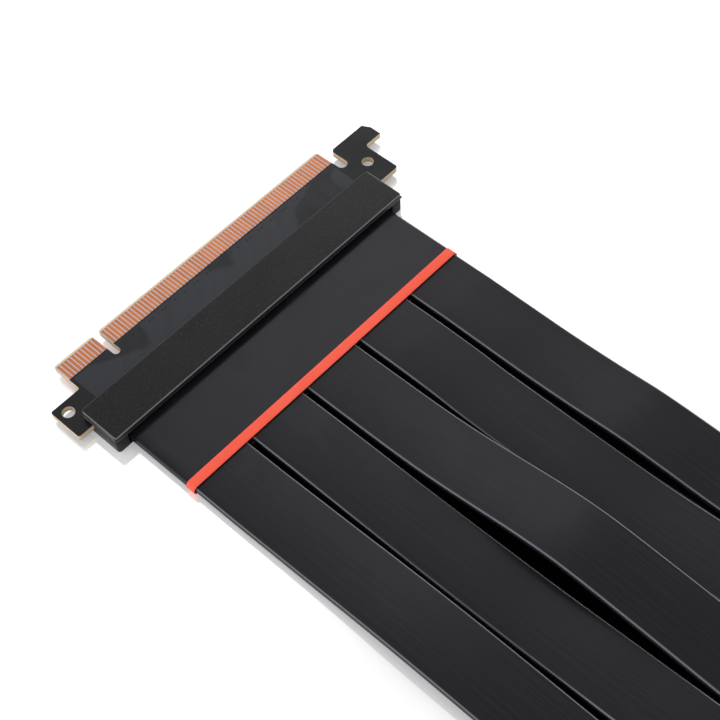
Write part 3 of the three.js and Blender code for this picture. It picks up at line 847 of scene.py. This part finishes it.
def laminate_material():
    """Cut glass epoxy: cream layers between thin dark lines of copper, all at fixed heights"""
    material, tree, place = surface("cut laminate")
    share = maths(tree, "DIVIDE", maths(tree, "SUBTRACT", axes(tree, place)["Z"],
                                        BOARD_BOTTOM * MM), (BOARD_TOP - BOARD_BOTTOM) * MM)
    frayed = mottle(tree, place, 900.0, 3.0)
    layers = add(tree, "ShaderNodeValToRGB", {0: maths(tree, "MULTIPLY_ADD", frayed, 0.05, share)})
    colours = layers.color_ramp.elements
    while len(colours) < len(LAMINATE_LAYERS):
        colours.new(0.5)
    for element, (position, colour) in zip(colours, LAMINATE_LAYERS):
        element.position = position
        element.color = (*colour, 1)
    return finished(material, layers.outputs[0], levels(tree, frayed, 0.3, 0.7, 0.5, 0.7),
                    frayed, 0.02)


def clouded(name, base, lighter, scale, detail, low, high, depth, plain=None):
    """A finish that varies from spot to spot: its tone, its roughness from low to high, and its
    relief, whose depth is in millimetres"""
    material, tree, place = surface(name)
    cloud = mottle(tree, place, scale, detail)
    return finished(material, blend(tree, cloud, base, lighter),
                    levels(tree, cloud, 0.3, 0.7, low, high), cloud, depth, plain)


solder_mask = solder_mask_material()
laminate = laminate_material()
bare_laminate = clouded("bare laminate", (0.50, 0.44, 0.54, 1), (0.60, 0.54, 0.63, 1),
                        1800.0, 2.0, 0.35, 0.5, 0.01)
plug = mesh_piece("plug_board_masked", plug_board(), solder_mask, laminate, bare_laminate)
smooth_faces(plug.data, 25)
fitted(plug, "circuit_board", "plug_board")


# Contacts. Eighty-two plated fingers stand on each face of the tongue, eleven before the key and
# seventy-one after it. They are printed and etched with the board and only a hair thick.
PAD_WIDTH = 0.7
PAD_CORNER = 0.1
PAD_EDGE = 0.015
PAD_THICKNESS = 0.09
PAD_PROUD = 0.045
FIRST_PIN = TONGUE_LEFT + 0.65
SHORT_PINS = 11
LONG_PINS = 71
PIN_PITCH = 1.0
KEY_SPAN = 3.0
METAL = {"Metallic": 1.0}
PIN_CENTRES = [FIRST_PIN + pin * PIN_PITCH + (KEY_SPAN - PIN_PITCH if pin >= SHORT_PINS else 0)
               for pin in range(SHORT_PINS + LONG_PINS)]


def contact_rows_tree():
    """Two facing rows of one contact, with a step in their pitch at the key. The second row is
    turned about the first one's line."""
    tree, given, result = node_group(
        "GeometryNodeTree", "two rows of contacts",
        {"Contact": "Geometry", "Short count": 11, "Long count": 71, "Pitch": 0.001,
         "Key span": 0.003, "First row": "Vector", "Second row": "Vector",
         "Second turn": "Rotation", "Finish": "Material"}, {"Contacts": "Geometry"})
    step = add(tree, "ShaderNodeCombineXYZ", {"X": given["Pitch"]}).outputs[0]
    before = add(tree, "GeometryNodeMeshLine", {"Count": given["Short count"], "Offset": step})
    reach = maths(tree, "MULTIPLY", maths(tree, "SUBTRACT", given["Short count"], 1.0),
                  given["Pitch"])
    past_key = add(tree, "ShaderNodeCombineXYZ",
                   {"X": maths(tree, "ADD", reach, given["Key span"])})
    after = add(tree, "GeometryNodeMeshLine",
                {"Count": given["Long count"], "Offset": step,
                 "Start Location": past_key.outputs[0]})
    line = add(tree, "GeometryNodeJoinGeometry", {0: before.outputs[0]})
    connect(tree, after.outputs[0], line.inputs[0])
    both = add(tree, "GeometryNodeJoinGeometry")
    for start, turn in ((given["Second row"], given["Second turn"]), (given["First row"], None)):
        row = add(tree, "GeometryNodeInstanceOnPoints",
                  {"Points": line.outputs[0], "Instance": given["Contact"]})
        if turn is not None:
            connect(tree, turn, row.inputs["Rotation"])
        moved = add(tree, "GeometryNodeTranslateInstances",
                    {"Instances": row.outputs[0], "Translation": start, "Local Space": False})
        connect(tree, moved.outputs[0], both.inputs[0])
    random = add(tree, "FunctionNodeRandomValue", {"Seed": 7}, data_type="FLOAT")
    toned = add(tree, "GeometryNodeStoreNamedAttribute",
                {"Geometry": both.outputs[0], "Name": "tone", "Value": random.outputs[1]},
                data_type="FLOAT", domain="INSTANCE")
    hand_over(tree, toned.outputs[0], given["Finish"], result["Contacts"])
    return tree


def pin_rows(name, contact, finish, first, second, turn):
    """A contact at every pin of two rows. Each row has its line along the cable and its height."""
    return grown(name, contact_rows, contact, short_count=SHORT_PINS, long_count=LONG_PINS,
                 pitch=PIN_PITCH * MM, key_span=KEY_SPAN * MM, finish=finish,
                 first_row=Vector((FIRST_PIN, *first)) * MM,
                 second_row=Vector((FIRST_PIN, *second)) * MM, second_turn=turn)


def plated(name, base, dull, rough):
    """Plated metal. Each contact has a tone of its own, and rubs dull in faint long scratches."""
    material, tree, place = surface(name)
    at = axes(tree, place)
    own = add(tree, "ShaderNodeAttribute", attribute_name="tone").outputs["Fac"]
    rubbed = streaked(tree, at["X"], at["Y"], 0.08, 1.6)
    share = maths(tree, "MULTIPLY_ADD", rubbed["Tone"], 0.35, levels(tree, own, 0.0, 1.0, 0.0, 0.4))
    return finished(material, blend(tree, share, base, dull),
                    maths(tree, "MULTIPLY_ADD", share, 0.15, rough), rubbed["Height"], 0.004, METAL)


contact_rows = contact_rows_tree()
finger_plating = plated("finger plating", (0.52, 0.18, 0.058, 1), (0.38, 0.155, 0.08, 1), 0.36)
pad = mesh_piece("pad", prism([rounded(PAD_WIDTH, PAD_LENGTH, PAD_CORNER, 2)], 0, PAD_THICKNESS))
pad_mesh = eased(pad, PAD_EDGE, 1).data
bpy.data.objects.remove(pad)
pad_y = PLUG_TIP - PAD_START - PAD_LENGTH / 2
pad_sunk = PAD_THICKNESS - PAD_PROUD
fingers = pin_rows("plug_fingers", pad_mesh, finger_plating, (pad_y, BOARD_TOP - pad_sunk),
                   (pad_y, BOARD_BOTTOM + pad_sunk), (math.pi, 0, 0))
fitted(fingers, "circuit_board")


# Traces. The signal pairs leave their contacts as thin copper lines under the mask and spread
# out to the wires. Behind the ground contact at each side of a pair stands a small tented via.
TRACE_WIDTH = 0.2
TRACE_HEIGHT = 0.035
TRACE_ON_PAD = 0.2
TRACE_STRAIGHT = 1.2
TRACE_END = PLUG_TIP - BOARD_DEPTH + 2.6
PAIR_HALF_GAP = 0.3
VIA = 0.27
VIA_LINE = PLUG_TIP - COPPER_START - 1.1

# The first contact of each signal pair, which lies two contacts further on underneath
PAIRS_ABOVE = (14, 19, 23, 27, 33, 37, 41, 45, 50, 54, 58, 62, 66, 70, 74, 78)
PAIRS_BELOW = [first + 2 for first in PAIRS_ABOVE]


def strip_profile(points, thickness):
    """The outline of a strip bent along a line of points"""
    sides = [[], []]
    for index, point in enumerate(points):
        before, after = points[max(index - 1, 0)], points[min(index + 1, len(points) - 1)]
        normal = (after - before).normalized().orthogonal() * thickness / 2
        sides[0].append(point + normal)
        sides[1].append(point - normal)
    return sides[0] + sides[1][::-1]


def joined(name, meshes, finish):
    made = bmesh.new()
    for mesh in meshes:
        made.from_mesh(mesh)
    return mesh_piece(name, plain_mesh(made, name), finish)


def trace_lines(pairs):
    """Each trace runs straight from its contact, slants to its wire and ends straight"""
    start = PLUG_TIP - PAD_START - PAD_LENGTH + TRACE_ON_PAD
    bend = start - TRACE_STRAIGHT
    spread = len(LOOSE_RUNS) * RIBBON_PITCH / len(pairs)
    for order, first in enumerate(pairs):
        middle = CABLE_AXIS + (order - (len(pairs) - 1) / 2) * spread
        for side in (-1, 1):
            pin = PIN_CENTRES[first - 1 + (side > 0)]
            wire = middle + side * PAIR_HALF_GAP
            slant = abs(wire - pin)
            end = min(bend - TRACE_STRAIGHT, TRACE_END + TRACE_STRAIGHT + slant) - slant
            yield [Vector(spot) for spot in
                   ((pin, start), (pin, bend), ((pin + wire) / 2, (bend + end) / 2),
                    (wire, end), (wire, TRACE_END))]


via_mask = moulded("tented via", (0.0035, 0.0035, 0.0045, 1), (0.008, 0.008, 0.010, 1),
                   0.3, 0.1, 0.004)
for face, pairs, level in (("upper", PAIRS_ABOVE, BOARD_TOP), ("lower", PAIRS_BELOW, BOARD_BOTTOM)):
    low, high = level - TRACE_HEIGHT, level + TRACE_HEIGHT
    traces = [prism([strip_profile(line, TRACE_WIDTH)], low, high) for line in trace_lines(pairs)]
    fitted(joined(f"traces_{face}", traces, solder_mask), "circuit_board")
    vias = [prism([circle(PIN_CENTRES[pin - 1], VIA_LINE, VIA, 10)], low, high)
            for first in pairs for pin in (first - 1, first + 2)]
    fitted(joined(f"vias_{face}", vias, via_mask), "circuit_board")


# Slot board. The same laminate and mask under the slot, with a plated hole for a screw at each
# end. The slot's pins come through it and are soldered underneath.
SLOT_LINE = -142.325
SLOT_BOARD_LEFT = -54.55
SLOT_BOARD_RIGHT = 54.55
SLOT_BOARD_FRONT = -132.775
SLOT_BOARD_BACK = -149.875
BACK_CORNER = 1.5
MOUNT_HOLE = 3.2
MOUNT_INSET = 4.0
LAND = 6.0
LAND_THICKNESS = 0.05
LAND_PROUD = 0.03
MOUNTS = {"left": SLOT_BOARD_LEFT + MOUNT_INSET, "right": SLOT_BOARD_RIGHT - MOUNT_INSET}


def slot_board():
    left, right = SLOT_BOARD_LEFT, SLOT_BOARD_RIGHT
    edge = outline([(left, SLOT_BOARD_FRONT, CORNER), (left, SLOT_BOARD_BACK, BACK_CORNER),
                    (right, SLOT_BOARD_BACK, BACK_CORNER), (right, SLOT_BOARD_FRONT, CORNER)])
    holes = [circle(x, SLOT_LINE, MOUNT_HOLE / 2) for x in MOUNTS.values()]
    holes += peg_holes(SLOT_MOUTH - COVER_BACK + PEG_FROM_BACK)
    return plain_mesh(board_blank([edge, *holes]), "slot board")


solder = clouded("solder", (0.52, 0.53, 0.55, 1), (0.72, 0.72, 0.72, 1),
                 3000.0, 3.0, 0.28, 0.42, 0.003, METAL)
carrier = mesh_piece("slot_board_masked", slot_board(), solder_mask, laminate)
smooth_faces(carrier.data, 25)
fitted(carrier, "circuit_board", "slot_board")

for side, x in MOUNTS.items():
    ring = [circle(x, SLOT_LINE, width / 2, 48) for width in (LAND, MOUNT_HOLE)]
    for face, low in (("upper", BOARD_TOP + LAND_PROUD - LAND_THICKNESS),
                      ("lower", BOARD_BOTTOM - LAND_PROUD)):
        land = mesh_piece(f"mount_land_{side}_{face}", prism(ring, low, low + LAND_THICKNESS),
                          solder)
        smooth_faces(land.data)
        fitted(land, "circuit_board")


# Slot. The housing is moulded in black glass-filled nylon. The card's edge goes into two openings
# with the key's web between them, and behind each contact is a cell for its spring.
SLOT_WIDTH = 7.5
SLOT_TOP = 14.35
SLOT_LEFT = -47.175
SLOT_RIGHT = 41.575
SLOT_FLOOR = 4.7
SLOT_HALF_OPENING = 0.9
CELL_WIDTH = 0.62
CELL_DEPTH = 1.25
SLOT_FIT = 0.225
LEAD_IN = 0.45
CHEEK_INNER = 2.4
CHEEK_RIGHT = 46.175
CHEEK_TOP = 9.3
SLOT_EDGE = 0.25
PIVOT = Vector((43.175, SLOT_LINE, 5.6))
PIVOT_HOLE = 1.05
SPRING_THICKNESS = 0.2
SPRING_HALF_WIDTH = 0.21
SPRING_LINE = ((1.86, SLOT_FLOOR - 0.2), (1.78, 6.4), (1.55, 8.2), (1.1, 9.9), (0.72, 11.0),
               (0.62, 11.5), (0.68, 12.0), (0.95, 12.7), (1.3, 13.25))
JOINT_RADIUS = 0.42
JOINT_HEIGHT = 0.75
JOINT_TIP = 0.45
JOINT_ROW = 2.0
JOINT_TOP = BOARD_BOTTOM + 0.02


def comb_opening(left, right):
    """The outline of one opening with a notch at each contact on both sides"""
    half, deep = SLOT_HALF_OPENING, SLOT_HALF_OPENING + CELL_DEPTH
    near, far = [], []
    for x in PIN_CENTRES:
        if left < x < right:
            start, end = x - CELL_WIDTH / 2, x + CELL_WIDTH / 2
            near += [(start, -half), (start, -deep), (end, -deep), (end, -half)]
            far += [(start, half), (start, deep), (end, deep), (end, half)]
    corners = [(left, -half), *near, (right, -half), (right, half), *far[::-1], (left, half)]
    return [Vector((x, y + SLOT_LINE)) for x, y in corners]


def slot_body(name):
    half = SLOT_WIDTH / 2
    openings = [(TONGUE_LEFT - SLOT_FIT, KEY_LEFT + SLOT_FIT),
                (KEY_LEFT + KEY_WIDTH - SLOT_FIT, TONGUE_RIGHT + SLOT_FIT)]
    body = mesh_piece(name, box_mesh((SLOT_LEFT, SLOT_RIGHT), (SLOT_LINE - half, SLOT_LINE + half),
                                     (BOARD_TOP, SLOT_TOP)))
    cheeks = [box_mesh((SLOT_RIGHT - 1, CHEEK_RIGHT), y, (BOARD_TOP, CHEEK_TOP))
              for y in ((SLOT_LINE - half, SLOT_LINE - CHEEK_INNER),
                        (SLOT_LINE + CHEEK_INNER, SLOT_LINE + half))]
    eased(combined(body, cheeks, "UNION"), SLOT_EDGE, 3)
    cuts = [prism([comb_opening(*reach)], SLOT_FLOOR, SLOT_TOP + 2) for reach in openings]
    narrow, wide = SLOT_HALF_OPENING, SLOT_HALF_OPENING + 2 * LEAD_IN
    wedge = [Vector((SLOT_LINE + across, SLOT_TOP + up)) for across, up in
             ((-narrow, -LEAD_IN), (narrow, -LEAD_IN), (wide, LEAD_IN), (-wide, LEAD_IN))]
    cuts += [prism([wedge], *reach, ALONG_X) for reach in openings]
    cuts.append(prism([circle(PIVOT.x, PIVOT.z, PIVOT_HOLE, 24)],
                      SLOT_LINE - SLOT_WIDTH, SLOT_LINE + SLOT_WIDTH, ALONG_Y))
    return combined(body, cuts)


slot_plastic = moulded("slot plastic", (0.0105, 0.0105, 0.011, 1), (0.02, 0.02, 0.021, 1),
                       0.42, 0.22, 0.012)
slot = slot_body("slot_body")
smooth_faces(slot.data)
coated(slot, slot_plastic)
fitted(slot, "slot_plastic", "slot_housing")

spring_gold = plated("spring plating", (0.83, 0.60, 0.27, 1), (0.62, 0.47, 0.26, 1), 0.24)
spring = prism([strip_profile([Vector(spot) for spot in SPRING_LINE], SPRING_THICKNESS)],
               -SPRING_HALF_WIDTH, SPRING_HALF_WIDTH, ALONG_X)
springs = pin_rows("slot_springs", spring, spring_gold, (SLOT_LINE, 0), (SLOT_LINE, 0),
                   (0, 0, math.pi))
smooth_faces(springs.data, 50)
fitted(springs, "slot_plastic")

joint = prism([circle(0, 0, JOINT_RADIUS, 10)], -JOINT_HEIGHT, 0)
for spot in joint.vertices:
    if spot.co.z < 0:
        spot.co.xy *= JOINT_TIP
joints = pin_rows("slot_solder_joints", joint, solder, (SLOT_LINE + JOINT_ROW, JOINT_TOP),
                  (SLOT_LINE - JOINT_ROW, JOINT_TOP), (0, 0, 0))
smooth_faces(joints.data, 60)
fitted(joints, "slot_plastic")


# Latch. A lever of the same black nylon turns on its pin between the slot's cheeks. Its nose
# closes over the hook of the card, and the tab at its top is pushed out to free it.
LATCH_HALF = 1.3
LATCH_TOP = 17.55 - PIVOT.z
LATCH_NOSE = 1.7
LATCH_NOSE_BOTTOM = 14.85 - PIVOT.z
LATCH_TAB = 4.2
LATCH_TAB_THICKNESS = 0.9
LATCH_WIDTH = 4.2
LATCH_EDGE = 0.18
AXLE = 0.8
AXLE_HALF_LENGTH = 3.45
TAB_RIBS = (0.8, 1.7, 2.6, 3.5)
TAB_RIB = (0.35, 3.4, 0.12)


def latch_body(name):
    half, top, tab, nose = LATCH_HALF, LATCH_TOP, LATCH_TAB_THICKNESS, LATCH_HALF + LATCH_NOSE
    foot = 0.98 * half
    profile = outline([(half, -half, foot), (half, top - 2 * tab, 0.8),
                       (half + LATCH_TAB, top - tab, 0.3), (half + LATCH_TAB, top, 0.3),
                       (-half, top, 0.3), (-nose, (top + LATCH_NOSE_BOTTOM) / 2, 0.2),
                       (-nose, LATCH_NOSE_BOTTOM, 0.2), (-half, LATCH_NOSE_BOTTOM, 0.3),
                       (-half, -half, foot)], 5)
    lever = mesh_piece(name, prism([profile], -LATCH_WIDTH / 2, LATCH_WIDTH / 2, ALONG_Y))
    eased(lever, LATCH_EDGE, 3)
    axle = prism([circle(0, 0, AXLE, 24)], -AXLE_HALF_LENGTH, AXLE_HALF_LENGTH, ALONG_Y)
    length, width, proud = TAB_RIB
    ribs = [box_mesh((half + start, half + start + length), (-width / 2, width / 2),
                     (top - 0.3, top + proud)) for start in TAB_RIBS]
    return combined(lever, [axle, *ribs], "UNION")


latch_plastic = moulded("latch plastic", (0.013, 0.013, 0.0145, 1), (0.024, 0.024, 0.026, 1),
                        0.4, 0.22, 0.012)
latch = latch_body("latch_lever")
smooth_faces(latch.data)
coated(latch, latch_plastic)
latch.data.transform(Matrix.Translation(PIVOT * MM))
fitted(latch, "latch_plastic", "slot_latch", body="latch")


# Stage. A white glossy table mirrors the cable's underside. Under the loose ribbons it holds a
# painted shade, plain black, so that the slits between them stay dark. The sky is brighter at the
# horizon, which draws a light line on every edge, and dimmer behind the camera. The sleeve mirrors
# its softbox.
TABLE_REACH = 3.0
TABLE_GLOW = 0.24
TABLE_ROUGHNESS = 0.06
TABLE_MIRROR = 0.3
# Extent of the painted shade, plain black, under the loose ribbons
PAINTED_SHADE_HALF_WIDTH = 40.4
PAINTED_SHADE_HALF_LENGTH = 112.0
TABLE_WHITE = (1, 1, 1, 1)
TABLE_UNSEEN = (0.8, 0.8, 0.8, 1)
TABLE_PAINTED_SHADE = (0.002, 0.002, 0.002, 1)
HORIZON = 2.7
HORIZON_UP_TO = 0.15
ZENITH = 0.71
ZENITH_FROM = 0.62
SKY_BEHIND = 0.45
BEHIND_FULLY = -0.9
BEHIND_FROM = -0.1
SOFTBOX = 1.45
SOFTBOX_DIRECTION = (0.445, 0.465, 0.765)
SOFTBOX_INNER = math.radians(3)
SOFTBOX_OUTER = math.radians(17)


def table_material():
    """Black painted shade under the ribbons, else white with a faint glow that only camera and
    mirrors see
    """
    material, tree, place = surface("white table with painted shade")
    at = axes(tree, place)
    across = maths(tree, "ABSOLUTE", maths(tree, "SUBTRACT", at["X"], CABLE_AXIS * MM))
    along = maths(tree, "ABSOLUTE", at["Y"])
    beside = levels(tree, across, (PAINTED_SHADE_HALF_WIDTH - 1) * MM, PAINTED_SHADE_HALF_WIDTH * MM)
    beyond = levels(tree, along, (PAINTED_SHADE_HALF_LENGTH - 1) * MM, PAINTED_SHADE_HALF_LENGTH * MM)
    rays = add(tree, "ShaderNodeLightPath").outputs
    seen = maths(tree, "MAXIMUM", rays["Is Camera Ray"],
                 maths(tree, "MAXIMUM", rays["Is Glossy Ray"], rays["Is Transmission Ray"]))
    # Outside the painted shade the table is white
    outside_painted_shade = maths(tree, "MAXIMUM", beside, beyond)
    paint = blend(tree, outside_painted_shade, TABLE_PAINTED_SHADE, blend(tree, seen, TABLE_UNSEEN, TABLE_WHITE))
    glow = blend(tree, maths(tree, "MULTIPLY", seen, outside_painted_shade), (0, 0, 0, 1),
                 (TABLE_GLOW, TABLE_GLOW, TABLE_GLOW, 1))
    shader = tree.nodes["Principled BSDF"].inputs
    connect(tree, paint, shader["Base Color"])
    connect(tree, glow, shader["Emission Color"])
    shader["Emission Strength"].default_value = 1.0
    shader["Roughness"].default_value = TABLE_ROUGHNESS
    shader["Metallic"].default_value = TABLE_MIRROR
    return material


def studio_world():
    world = bpy.data.worlds.new("studio")
    world.use_nodes = True
    tree = world.node_tree
    direction = add(tree, "ShaderNodeTexCoord").outputs["Generated"]
    up = axes(tree, direction)
    sky = levels(tree, up["Z"], HORIZON_UP_TO, ZENITH_FROM, HORIZON, ZENITH)
    behind = levels(tree, up["Y"], BEHIND_FULLY, BEHIND_FROM, SKY_BEHIND, 1.0)
    sky = maths(tree, "MULTIPLY", sky, behind)
    towards = add(tree, "ShaderNodeVectorMath", {0: direction, 1: SOFTBOX_DIRECTION},
                  operation="DOT_PRODUCT").outputs["Value"]
    softbox = levels(tree, towards, math.cos(SOFTBOX_OUTER), math.cos(SOFTBOX_INNER), 0.0, SOFTBOX)
    background = tree.nodes["Background"].inputs
    connect(tree, maths(tree, "ADD", sky, softbox), background["Strength"])
    background["Color"].default_value = (1, 1, 1, 1)
    return world


floor_mesh = bpy.data.meshes.new("floor")
floor_mesh.from_pydata([(x * TABLE_REACH, y * TABLE_REACH, 0)
                        for x, y in ((-1, -1), (1, -1), (1, 1), (-1, 1))], [], [(0, 1, 2, 3)])
floor = mesh_piece("floor", floor_mesh, table_material())
scene.world = studio_world()
